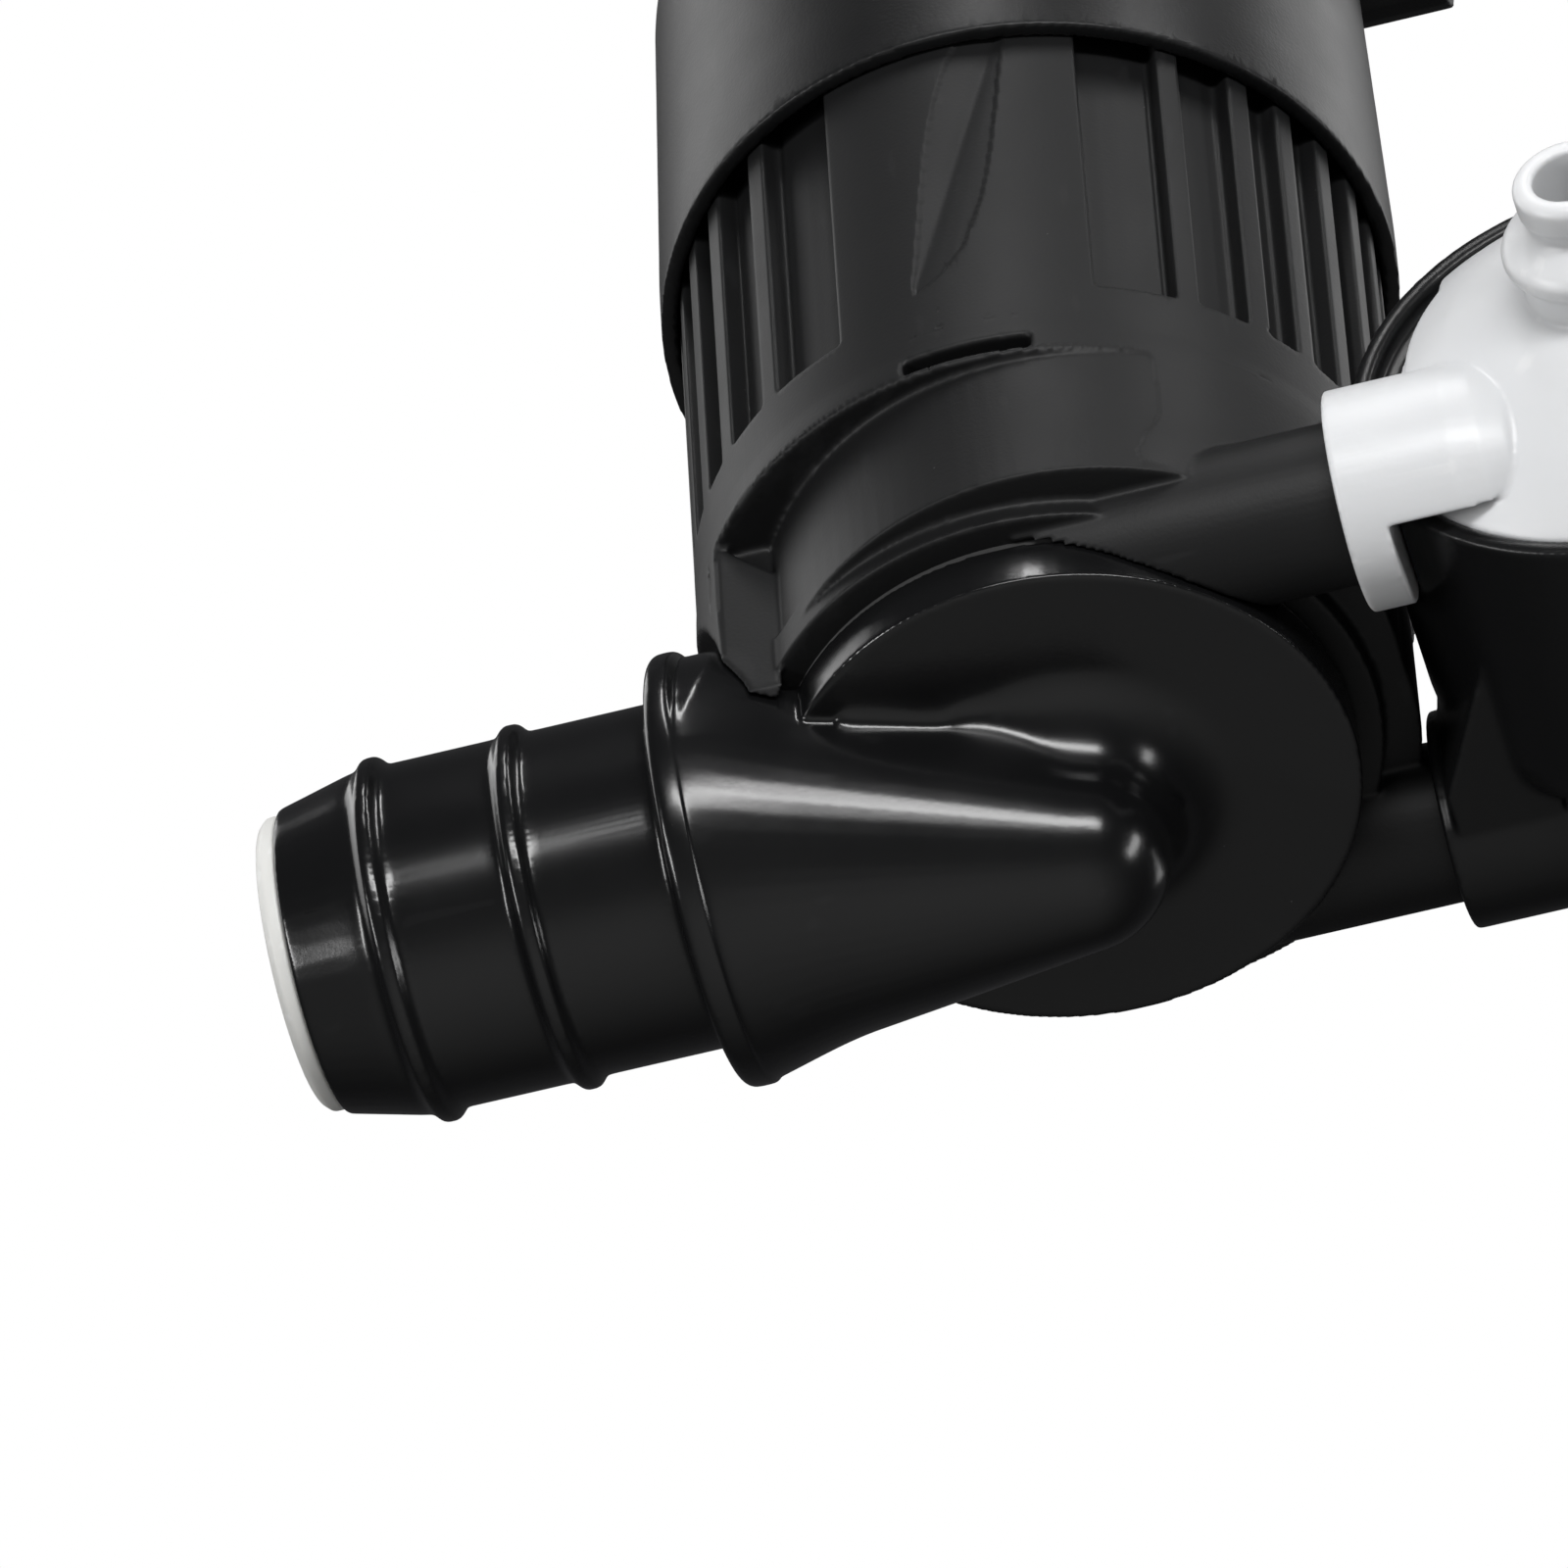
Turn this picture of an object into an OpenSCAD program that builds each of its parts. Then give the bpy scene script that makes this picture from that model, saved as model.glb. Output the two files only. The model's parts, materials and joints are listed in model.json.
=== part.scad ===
// Twin-outlet washer pump: ribbed motor housing with a push-on cap, a volute with two
// tangential outlets, a horn-shaped inlet cover with a grommet spigot, and a diaphragm
// valve that opens one outlet or the other, by the motor's direction of turning.
// Origin: on the spigot's axis, midway between its two seal beads.
// +X points from the spigot into the pump, +Z up along the motor.

/* [Spigot] */
// Distance from the middle of the seal beads to the motor's axis
seat_to_motor = 28.8; // [28:0.1:34]
// Height of the spigot's axis above the pump cover's face
spigot_rise = 0.9; // [0:0.1:1.5]
// Radius of the spigot's tube
spigot_r = 8.35; // [8:0.05:9]
// Height of a seal bead above the tube
bead_h = 0.5; // [0.3:0.05:0.8]
// Distance between the two seal beads
bead_pitch = 6.9; // [5:0.1:8]
// Radius of the shoulder flange
flange_r = 10.5; // [10.2:0.1:11.2]
// Thickness of the shoulder flange
flange_t = 1.4; // [1.2:0.1:2]
// Wall of the spigot and the horn
spigot_wall = 1.45; // [1.2:0.05:1.6]
// Length of the tube past the outer bead
nose_len = 4.75; // [4:0.05:8]

/* [Pump chamber] */
// Radius of the bottom cover's disc
cover_r = 13.8; // [13.4:0.1:14.2]
// Height of the cover's rim
cover_h = 3; // [2.6:0.1:3.4]
// Radius of the impeller chamber
chamber_r = 12.4; // [11.8:0.1:12.7]
// Height of the chamber's roof above the cover's face
chamber_top = 9.4; // [9:0.1:10]
// Radius of the impeller
impeller_r = 9.8; // [8.5:0.1:11]
// Distance of each outlet pipe from the centre plane
outlet_y = 10.3; // [9.8:0.1:10.6]
// Height of the outlet pipes' axes
outlet_z = 4.3; // [4.1:0.1:5]
// Outer radius of an outlet pipe
outlet_r = 3.9; // [3.6:0.05:4.1]
// Bore radius of an outlet pipe
outlet_bore_r = 2.4; // [1.8:0.1:2.6]

/* [Motor housing] */
// Outer radius over the ribs
barrel_r = 17.1; // [16.9:0.05:17.3]
// Depth of the channels between the ribs
rib_depth = 1.1; // [0.6:0.1:1.3]
// Height of the skirt's lower edge
skirt_z = 12.6; // [12.2:0.1:13]
// Height at which the channels start
channel_z = 17.5; // [17:0.1:20]
// Half angle of the plain front panel
panel_half = 21.5; // [15:0.5:25]
// Height of the motor bay's floor
bay_z = 14.6; // [14.2:0.1:14.8]

/* [Cap] */
// Outer radius of the cap
cap_r = 18; // [17.9:0.05:19]
// Height of the cap's lower rim
cap_z = 36.2; // [34:0.1:39]
// Height of the cap's flat top
cap_top = 60.5; // [59.5:0.1:62]
// Wall of the cap's upper part
cap_wall = 1.85; // [1.5:0.05:1.9]
// Outer width of the connector shroud
plug_w = 17; // [16:0.5:18]
// Outer height of the connector shroud
plug_h = 10.5; // [10:0.5:11.5]
// Distance of the shroud's mouth from the motor's axis
plug_x = 21.2; // [19:0.1:24]
// Wall of the connector shroud
plug_wall = 1.4; // [1.2:0.1:1.6]

/* [Valve] */
// Distance of the valve's axis from the motor's axis
valve_x = 30.2; // [30.1:0.1:31]
// Height of the valve's axis above the cover's face
valve_z = 8.8; // [8.4:0.1:9]
// Outer radius of the valve bowl
bowl_r = 13.3; // [13:0.1:13.5]
// Bowl's depth behind the joint with its cover
bowl_depth = 17.5; // [16.9:0.1:19]
// Radius of the valve chamber
valve_bore_r = 10.4; // [9.8:0.1:10.6]
// Radius of the white cover's flange
lid_r = 12.25; // [12:0.05:12.4]
// Radius of the diaphragm's moving centre
disc_r = 4.2; // [3.8:0.1:5]
// Free travel of the diaphragm's centre each way
disc_travel = 0.7; // [0.4:0.1:0.8]
// Radius of a hose nozzle at its tip
nozzle_r = 2.75; // [2.5:0.05:3]
// Bore radius of a hose nozzle
nozzle_bore_r = 1.75; // [1.2:0.05:1.9]

/* [Motor] */
// Radius of the motor's can
can_r = 13.85; // [13.4:0.05:13.9]
// Length of the motor's can
can_len = 32; // [30:0.5:34]
// Wall of the motor's can
can_wall = 1; // [0.6:0.1:1.2]
// Radius of the motor's shaft
shaft_r = 1.15; // [1:0.05:1.5]
// Radial clearance of the shaft in its bushes and seal
shaft_gap = 0.03; // [0.01:0.01:0.08]
// Radius of the armature
armature_r = 9.4; // [8.8:0.1:9.6]

/* [Hidden] */
$fn = 96;

eps = 0.01;          // overlap that keeps cuts clean
far = 100;           // longer than any cut needs
fit_gap = 0.1;       // clearance between pieces that slide together
part_gap = 0.15;     // clearance between pieces that only pass each other
tip_round = 0.35;    // rounding of small edges
flange_round = 0.5;

// spigot stations, measured along X from the motor's axis
bead_in_x = -seat_to_motor + bead_pitch / 2;
bead_out_x = -seat_to_motor - bead_pitch / 2;
nose_x = bead_out_x - nose_len;
flange_x = -barrel_r - 1;            // outer face of the shoulder
shoulder_fillet = 0.8;               // fillet between the shoulder and the horn
horn_x = flange_x + flange_t + shoulder_fillet;    // where the horn's big ball stands
nose_drop = 0.95;                    // how far the nose tapers in
bead_land = 0.6;                     // flat top of a bead
bead_foot = 1.5;                     // width of a bead at its foot
spigot_bore_r = spigot_r - spigot_wall;
strainer_rim = 1;                    // how far the strainer's rim stands out
strainer_len = 11;
strainer_wall = 0.9;
strainer_slots = 8;
strainer_bars = 4;                   // rows of mesh holes each way from the centre

// horn: a cone between two balls, level along its underside
horn_big_r = flange_r - 0.9;
horn_small_r = 4.6;
horn_low = spigot_rise - horn_big_r;                // level of the underside
horn_end_z = horn_low + horn_small_r;
horn_run = -horn_x;                                 // level distance between the balls
horn_drop = spigot_rise - horn_end_z;
horn_len = sqrt(horn_run * horn_run + horn_drop * horn_drop);
horn_tilt = atan2(horn_drop, horn_run);
horn_cone = asin((horn_big_r - horn_small_r) / horn_len);
boss_r = horn_small_r - 0.12;
boss_fillet = 1.5;
eye_r = 3.1;                                        // inlet hole at the impeller's eye

// pump chamber
plate_t = 1.6;
gasket_t = 0.4;
scroll_r = 15.05;
scroll_off = 1.51;                   // shift of each scroll's centre along X and Y
cover_gap = 0.1;
block_y = 9.4;                       // end faces of the left wall
block_z = 1.45;                      // level of its underside
block_inner_r = 14.8;
block_chamfer = 0.45;
pocket_t = 0.6;                      // depth of the pockets in the end faces
pocket_h = 3.8;
foot_ring_r = 15;                    // ring under the scrolls
scroll_z = 4.1;
outlet_end_x = 17.3;                 // ends of the outlet pipes
sleeve_x = 16.3;                     // where the sleeves start
sleeve_wall = 1.3;
sleeve_bore_r = outlet_r + fit_gap;
sleeve_r = sleeve_bore_r + sleeve_wall;
sleeve_ring = 2.1;                   // width of the front sleeve's full ring
seal_x = 16.75;
seal_w = 0.5;
seal_groove = 0.65;                  // depth of the pipes' seal grooves

// barrel
floor_r = barrel_r - rib_depth;
neck_r = floor_r - part_gap / 2;
rib_top = cap_z + 4.3;
barrel_top = cap_z + 15.8;
bay_r = can_r + part_gap;
can_z = bay_z + 2.4;
can_top = can_z + can_len;
rib_pitch = 10;
rib_first = 55;                      // centre angle of the first regular channel
rib_channels = 13;
channel_w = 6;                       // angular width of a regular channel
wide_a = (panel_half + 35) / 2;      // centre and width of the two wide channels
wide_w = 35 - panel_half;
second_a = 43.5;
second_w = 9;
seal_seat_r = 4.5;                   // bore for the shaft seal
seal_lip_r = 3.4;
seal_lip_t = 0.8;

// snap window in the skirt
window_w = 6.2;
window_h = 0.9;
window_z = 13;
window_depth = 1.4;
line_h = 0.25;
line_depth = 0.3;
line_z = 15.4;
line_up = 1.25;                      // distance between the two fine grooves

// cap
cap_bore_r = cap_r - cap_wall;
cap_lip_r = barrel_r + fit_gap;
cap_roof = 1.8;
cap_round = 2;
cap_draft = 0.5;
cap_straight = 2.5;                  // height of the cap's cylindrical band
cap_seal_z = cap_z + 8.8;
cap_seal_h = 2;
cap_groove = 1;
plug_z = cap_top + 4.75;             // height of the connector's axis
plug_back = 1;                       // rear end of the shroud
plug_round = 4.2;
plug_floor_x = 9.5;                  // bottom of the socket
plug_wall_x = 8;                     // front of the rear bay
plug_bay_w = 11;
pin_y = 4.35;
pin_t = 0.8;
pin_w = 2.4;
pin_x = 3;                           // rear edge of the terminals
pin_tip_x = plug_x - 2.8;
pin_slot = 0.05;

// valve
joint_y = -10.3;                     // face where the lid meets the bowl
rim_over = 0.9;                      // how far the bowl's rim stands round the lid
bowl_back_y = joint_y + bowl_depth;
rear_nozzle_len = 10.3;               // keeps a hose clear of the rear sleeve
bowl_round = 3.4;
ledge_y = joint_y + 1.4;
web_y = ledge_y - 0.5;               // middle plane of the diaphragm
web_t = 0.5;
bead_t = 1;
clamp_r = 11.3;
disc_t = 1.4;
seat_play = disc_travel + 0.05;
front_seat_y = web_y - disc_t / 2 - seat_play;
rear_seat_y = web_y + disc_t / 2 + seat_play;
seat_r = 3.1;
bowl_wall = 1.8;
lid_edge = 1;                        // height of the lid's edge
lid_chamfer = 0.3;
dome_foot_a = 43;                    // slope of the lid's dome at its edge and at its neck
dome_neck_a = 19;
neck_r1 = seat_r + 0.4;
dome_h = (lid_r - lid_chamfer - neck_r1) * (cos(dome_neck_a) - cos(dome_foot_a))
    / (sin(dome_foot_a) - sin(dome_neck_a));
nozzle_len = 12.5;                   // from the joint face to the nozzle's tip
rear_sleeve_end = 28;
link_x = 24.2;                       // passage from the rear sleeve to the bowl
link_r = 2.2;
notch_x = 8.2;                       // notch in the lid's edge, measured from the valve's axis
notch_r = 10.3;
arm_y = -12.3;                       // rear face of the arm on the front sleeve
arm_end_x = 22;                      // where the arm's round end starts
passage_t = 1.4;                     // flat passage through the arm
passage_h = 5.4;
passage_end_x = 23.2;

// motor
boss_z = bay_z + 0.3;
bush_r = 2.8;
bush_len = 2.6;
bush_z = boss_z + 0.2;
bell_t = 1.5;                        // end bell's plate
bell_drop = 2.5;                     // end bell's ring inside the can
bell_boss_h = 2;
upper_bush_z = can_top + 0.6;
shaft_z = 2.8;
shaft_top = can_top + bell_t + bell_boss_h + 0.1;
core_z = can_z + 7;
core_len = 14;
magnet_z = core_z - 3;
magnet_len = 20;
magnet_t = 2.8;
magnet_arc = 60;                     // half angle of a magnet
core_r = 3.2;
collar_h = 0.5;                      // how far the core's collar stands past the poles
pole_t = 1.4;
pole_w = 100;                        // angular width of a pole piece
pole_neck = 3;
coil_in = core_r + 0.7;
coil_out = armature_r - pole_t - 0.7;
coil_w = 6.2;
coil_over = 1.8;
comm_r = 2.6;
comm_z = can_z + 25;
comm_len = 4;
brush_gap = 0.05;
brush_w = 2.2;
brush_h = 2;
arm_t = 0.3;
arm_h = 3;
vane_count = 6;
vane_z = 2.4;
vane_h = 5;
vane_t = 1.1;
hub_r = 2.7;
web_h = 1;                           // impeller's disc

// ---------- helpers ----------

// places what is drawn round the motor's axis, with z = 0 at the cover's face
module on_motor() translate([seat_to_motor, 0, -spigot_rise]) children();

// turns a shape drawn along +Z so that it runs along +X
module along_x() rotate([90, 0, 90]) children();

// turns a shape drawn along +Z so that it runs along -Y
module along_front() rotate([90, 0, 0]) children();

// places a shape drawn along +Z on the valve's axis, running forwards from plane y
module on_valve(y) translate([valve_x, y, valve_z]) along_front() children();

// rounded rectangle with its corners as arcs
function corner(x, y, r, a0) = [for (k = [0:6]) [x + r * cos(a0 + 15 * k), y + r * sin(a0 + 15 * k)]];
function round_rect(w, h, r) = concat(
    corner(w / 2 - r, h / 2 - r, r, 0), corner(r - w / 2, h / 2 - r, r, 90),
    corner(r - w / 2, r - h / 2, r, 180), corner(w / 2 - r, r - h / 2, r, 270));

module ring(r_out, r_in, h) {
    difference() {
        cylinder(r = r_out, h = h);
        translate([0, 0, -eps]) cylinder(r = r_in, h = h + 2 * eps);
    }
}

// wedge prism centred on angle a, up to 160 degrees wide, reaching past radius r
module wedge(a, w, r, h) {
    reach = 2.5 * r;
    rotate([0, 0, a]) linear_extrude(h)
        polygon(concat([[0, 0]], [for (k = [-2:2]) reach * [cos(k * w / 4), sin(k * w / 4)]]));
}

// ---------- motor housing ----------

// angle on the barrel, counted both ways from the front
module both_ways(a) {
    rotate([0, 0, -90 + a]) children();
    rotate([0, 0, -90 - a]) children();
}

module channel(w) {
    h = rib_top - channel_z + eps;
    translate([0, 0, channel_z]) difference() {
        wedge(0, w, barrel_r, h);
        translate([0, 0, -1]) cylinder(r = floor_r, h = h + 2);
    }
}

module channels() {
    both_ways(wide_a) channel(wide_w);
    both_ways(second_a) channel(second_w);
    for (k = [0 : rib_channels - 1]) both_ways(rib_first + k * rib_pitch) channel(channel_w);
}

module scrolls() {
    translate([0, 0, cover_h]) cylinder(r = foot_ring_r, h = scroll_z - cover_h + 1);
    for (side = [-1, 1]) translate([scroll_off, side * scroll_off, scroll_z])
        cylinder(r = scroll_r, h = skirt_z - scroll_z + 1);
}

// triangular pocket at the top of the left wall's end face
module end_pocket() {
    inner_x = -sqrt(block_inner_r * block_inner_r - block_y * block_y);
    outer_x = -sqrt(barrel_r * barrel_r - block_y * block_y);
    along_front() linear_extrude(pocket_t + eps)
        polygon([[outer_x + 0.3, skirt_z], [inner_x + 1, skirt_z], [inner_x + 1, skirt_z - pocket_h]]);
}

// wall that stands round the left of the pump chamber
module left_wall() {
    difference() {
        translate([0, 0, block_z]) cylinder(r = barrel_r, h = skirt_z - block_z + 1);
        translate([0, 0, -1]) cylinder(r = block_inner_r, h = skirt_z + 3);
        translate([-9, -far / 2, -1]) cube([far, far, far]);
        translate([-far / 2, -far - block_y, -1]) cube([far, far, far]);
        translate([-far / 2, block_y, -1]) cube([far, far, far]);
        translate([0, -block_y + pocket_t, 0]) end_pocket();
        translate([0, block_y + eps, 0]) end_pocket();
        // chamfer under the end faces
        for (side = [-1, 1]) translate([0, side * block_y, block_z]) rotate([45, 0, 0])
            cube([far, block_chamfer * sqrt(2), block_chamfer * sqrt(2)], center = true);
    }
}

module outlet_pipe(side) {
    translate([1, side * outlet_y, outlet_z]) along_x() difference() {
        cylinder(r = outlet_r, h = outlet_end_x - 1);
        translate([0, 0, seal_x - 1]) ring(outlet_r + 1, outlet_r - seal_groove, seal_w);
    }
}

module outlet_bore(side) {
    translate([0, side * outlet_y, outlet_z]) along_x()
        cylinder(r = outlet_bore_r, h = outlet_end_x + 1);
}

// room for the horn and the shoulder under the left wall
module horn_room() {
    translate([-far, 0, spigot_rise]) along_x() cylinder(r = flange_r + part_gap, h = far + horn_x + part_gap);
    difference() {
        horn_solid(-part_gap);
        cylinder(r = block_inner_r - 2 * part_gap, h = far, center = true);
    }
}

module snap_window() {
    translate([-window_w / 2, -barrel_r - 1, window_z]) cube([window_w, window_depth + 1, window_h]);
    for (k = [0, 1]) {
        w = window_w + 1.2 * k;
        translate([-w / 2, -far / 2, line_z + k * line_up]) intersection() {
            cube([w, far, line_h]);
            translate([w / 2, far / 2, 0]) difference() {
                translate([-far / 2, -far, 0]) cube([far, far, line_h]);
                translate([0, 0, -1]) cylinder(r = barrel_r - line_depth, h = 3);
            }
        }
    }
}

module lower_housing() {
    color([0.05, 0.05, 0.055]) on_motor() difference() {
        union() {
            difference() {
                translate([0, 0, skirt_z]) cylinder(r = barrel_r, h = rib_top - skirt_z);
                channels();
            }
            translate([0, 0, rib_top - 1]) cylinder(r = neck_r, h = barrel_top - rib_top + 1);
            scrolls();
            left_wall();
            outlet_pipe(-1);
            outlet_pipe(1);
        }
        // motor bay
        translate([0, 0, can_z]) cylinder(r = bay_r, h = far);
        translate([0, 0, bay_z]) cylinder(r = bay_r - 3, h = far);
        // shaft seal's seat and lip
        translate([0, 0, chamber_top + seal_lip_t]) cylinder(r = seal_seat_r, h = bay_z);
        cylinder(r = seal_lip_r, h = bay_z);
        // pump chamber and the cover's seat
        translate([0, 0, -1]) cylinder(r = chamber_r, h = chamber_top + 1);
        translate([0, 0, -1]) cylinder(r = cover_r + cover_gap, h = cover_h + 1);
        outlet_bore(-1);
        outlet_bore(1);
        horn_room();
        snap_window();
        translate([0, 0, cap_seal_z]) ring(neck_r + 1, neck_r - cap_groove, cap_seal_h);
    }
}

// ---------- cap with its connector ----------

module cap_outside() {
    straight = cap_z + cap_straight;
    top_r = cap_r - cap_draft;
    rotate_extrude() polygon(concat(
        [[0, cap_z], [cap_r, cap_z], [cap_r, straight], [top_r, cap_top - cap_round]],
        [for (k = [1:6]) [top_r - cap_round + cap_round * cos(15 * k),
            cap_top - cap_round + cap_round * sin(15 * k)]],
        [[0, cap_top]]));
}

module shroud() {
    translate([plug_back, 0, plug_z]) along_x()
        linear_extrude(plug_x - plug_back) polygon(round_rect(plug_w, plug_h, plug_round));
    // lug for the plug's latch
    translate([plug_x - 7, -2.5, plug_z + plug_h / 2 - 0.4]) cube([4, 5, 1.5]);
}

module motor_cap() {
    color([0.07, 0.07, 0.075]) on_motor() difference() {
        union() {
            cap_outside();
            shroud();
        }
        translate([0, 0, cap_z - 1]) cylinder(r = cap_lip_r, h = rib_top - cap_z + 1 + part_gap * 2);
        translate([0, 0, cap_z - 1]) cylinder(r = cap_bore_r, h = cap_top - cap_roof - cap_z + 1);
        // rear bay for the terminals
        translate([plug_back + 0.6, -plug_bay_w / 2, cap_top - cap_roof - 1])
            cube([plug_wall_x - plug_back - 0.6, plug_bay_w, plug_z + pin_w - cap_top + cap_roof + 1]);
        // socket
        translate([plug_floor_x, 0, plug_z]) along_x() linear_extrude(far)
            polygon(round_rect(plug_w - 2 * plug_wall, plug_h - 2 * plug_wall, plug_round - plug_wall));
        // slots for the terminals
        for (side = [-1, 1]) translate([plug_wall_x - 1, side * pin_y - pin_t / 2 - pin_slot,
            plug_z - pin_w / 2 - pin_slot])
            cube([4, pin_t + 2 * pin_slot, pin_w + 2 * pin_slot]);
    }
}

module cap_seal() {
    color([0.12, 0.12, 0.12]) on_motor()
        translate([0, 0, cap_seal_z + 0.1]) ring(cap_bore_r, neck_r - cap_groove, cap_seal_h - 0.2);
}

// ---------- bottom cover with horn and spigot ----------

// points of a ball's arc from its far pole to the cone
function ball_arc(r, s, a0, a1) = [for (k = [0:12]) let (a = a0 + (a1 - a0) * k / 12)
    [r * cos(a), s + r * sin(a)]];

// the horn's cone and its small ball, drawn along +Z from the big end
module horn_shape(shrink, back) {
    small = horn_small_r - shrink;
    big = horn_big_r - shrink;
    foot = big / cos(horn_cone) + back * tan(horn_cone);
    rotate_extrude() polygon(concat([[0, -back], [foot, -back]],
        ball_arc(small, horn_len, horn_cone, 90)));
}

module horn_solid(shrink) {
    translate([horn_x, 0, spigot_rise]) rotate([0, 90 + horn_tilt, 0]) horn_shape(shrink, 6);
}

// keeps what lies under the cover's face, and above it only outside radius r
module below_face(start_x, r) {
    difference() {
        translate([start_x, -far / 2, -far / 2]) cube([far, far, far]);
        translate([0, 0, eps]) cylinder(r = r, h = far);
        translate([0, -far / 2, eps]) cube([far, far, far]);
    }
}

// the horn's solid, stepped back above the cover's rim to clear the housing
module horn_trimmed() {
    difference() {
        intersection() {
            horn_solid(0);
            below_face(flange_x + flange_t / 2, cover_r - 0.6);
            translate([-far / 2, 0, spigot_rise]) along_x() cylinder(r = flange_r - 0.4, h = far);
        }
        translate([0, 0, cover_h - gasket_t]) cylinder(r = block_inner_r - part_gap, h = far);
    }
}

module horn_hollow() {
    intersection() {
        horn_solid(spigot_wall);
        below_face(flange_x + 0.9, block_inner_r + spigot_wall);
    }
}

module boss_flare() {
    rotate_extrude() polygon(concat([[0, horn_end_z], [boss_r, horn_end_z]],
        [for (k = [0:6]) [boss_r + boss_fillet - boss_fillet * cos(15 * k),
            -boss_fillet + boss_fillet * sin(15 * k)]],
        [[boss_r + boss_fillet, plate_t / 2], [0, plate_t / 2]]));
}

function bead(x) = [[spigot_r, x + bead_foot / 2], [spigot_r + bead_h * 0.6, x + bead_land / 2 + 0.12],
    [spigot_r + bead_h, x + bead_land / 2], [spigot_r + bead_h, x - bead_land / 2],
    [spigot_r + bead_h * 0.6, x - bead_land / 2 - 0.12], [spigot_r, x - bead_foot / 2]];

// arc in steps of 15 degrees: radius against distance along X
function arc(r, x, size, a0, a1) = [for (k = [0:6]) let (a = a0 + (a1 - a0) * k / 6)
    [r + size * cos(a), x + size * sin(a)]];

// spigot and shoulder: radius against distance along X
module spigot_outside() {
    foot_r = horn_big_r - 0.25;          // the fillet ends inside the horn
    rim_back = horn_x - shoulder_fillet;
    rotate_extrude() polygon(concat(
        [[0, horn_x + 0.3], [foot_r, horn_x + 0.3]],
        arc(foot_r + shoulder_fillet, horn_x, shoulder_fillet, 180, 270),
        arc(flange_r - tip_round, rim_back - tip_round, tip_round, 90, 0),
        arc(flange_r - flange_round, flange_x + flange_round, flange_round, 0, -90),
        [[spigot_r + tip_round, flange_x], [spigot_r, flange_x - tip_round]],
        bead(bead_in_x), bead(bead_out_x),
        [[spigot_r - 0.1, bead_out_x - 1.3], [spigot_r - nose_drop, nose_x], [0, nose_x]]));
}

module bottom_cover() {
    color([0.04, 0.04, 0.045]) on_motor() difference() {
        union() {
            cylinder(r = cover_r, h = plate_t);
            ring(cover_r, chamber_r + 0.1, cover_h - gasket_t);
            horn_trimmed();
            boss_flare();
            translate([0, 0, spigot_rise]) along_x() spigot_outside();
        }
        horn_hollow();
        translate([nose_x - 1, 0, spigot_rise]) along_x() cylinder(r = spigot_bore_r, h = flange_x - nose_x + 2.2);
        translate([0, 0, horn_end_z]) cylinder(r = eye_r, h = far);
        outlet_bore(-1);
        outlet_bore(1);
    }
}

module cover_gasket() {
    color([0.1, 0.1, 0.1]) on_motor()
        translate([0, 0, cover_h - gasket_t]) ring(cover_r - 0.2, chamber_r + 0.2, gasket_t);
}

module inlet_strainer() {
    cup_r = spigot_bore_r - fit_gap;
    rim_r = cup_r + 0.35;
    bore = cup_r - strainer_wall;
    color([0.92, 0.92, 0.9]) on_motor()
        translate([nose_x - strainer_rim, 0, spigot_rise]) along_x() difference() {
            rotate_extrude() polygon([[0, 0], [rim_r - tip_round, 0], [rim_r, tip_round],
                [rim_r, strainer_rim], [cup_r, strainer_rim], [cup_r, strainer_len], [0, strainer_len]]);
            translate([0, 0, -1]) cylinder(r = bore, h = strainer_len - 0.2);
            for (k = [0 : strainer_slots - 1]) rotate([0, 0, k * 360 / strainer_slots])
                translate([bore - 1, -0.8, strainer_rim + 2.5]) cube([4, 1.6, strainer_len - 5.5]);
            for (i = [-strainer_bars : strainer_bars], j = [-strainer_bars : strainer_bars])
                if (norm([i, j]) < strainer_bars + 0.4)
                    translate([i * 1.2 - 0.4, j * 1.2 - 0.4, strainer_len - 2]) cube([0.8, 0.8, 3]);
        }
}

// ---------- diaphragm valve ----------

// hose nozzle: radius against distance
module nozzle_shape(foot, tip) {
    rotate_extrude() polygon([[0, foot], [neck_r1, foot], [neck_r1, tip - 4.9], [neck_r1 + 0.35, tip - 4.6],
        [neck_r1 + 0.6, tip - 4.2], [neck_r1 + 0.6, tip - 3.7], [neck_r1 + 0.3, tip - 3.3],
        [nozzle_r + 0.15, tip - 2.7], [nozzle_r - 0.3, tip - 2.3], [nozzle_r - 0.3, tip - 1.8],
        [nozzle_r, tip - 1.5], [nozzle_r, tip - 0.3], [nozzle_r - 0.3, tip], [0, tip]]);
}

// half profile of a shallow dome, from radius r at height z0 up to a neck of radius r1
function dome(r, r1, z0) = let (size = (r - r1) / (sin(dome_foot_a) - sin(dome_neck_a)))
    [for (k = [0:8]) let (a = dome_foot_a + (dome_neck_a - dome_foot_a) * k / 8)
        [r1 + size * (sin(a) - sin(dome_neck_a)), z0 + size * (cos(a) - cos(dome_foot_a))]];

module lid_outside() {
    rotate_extrude() polygon(concat([[0, 0], [lid_r, 0], [lid_r, lid_edge - lid_chamfer]],
        dome(lid_r - lid_chamfer, neck_r1, lid_edge), [[0, lid_edge + dome_h]]));
}

module lid_cavity() {
    inner_r = valve_bore_r - 0.9;
    difference() {
        rotate_extrude() polygon(concat([[0, -1], [inner_r, -1]],
            dome(inner_r, seat_r, lid_edge - 0.7), [[0, lid_edge + 2]]));
        translate([0, 0, joint_y - front_seat_y]) cylinder(r = seat_r, h = far / 4);
    }
}

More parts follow.
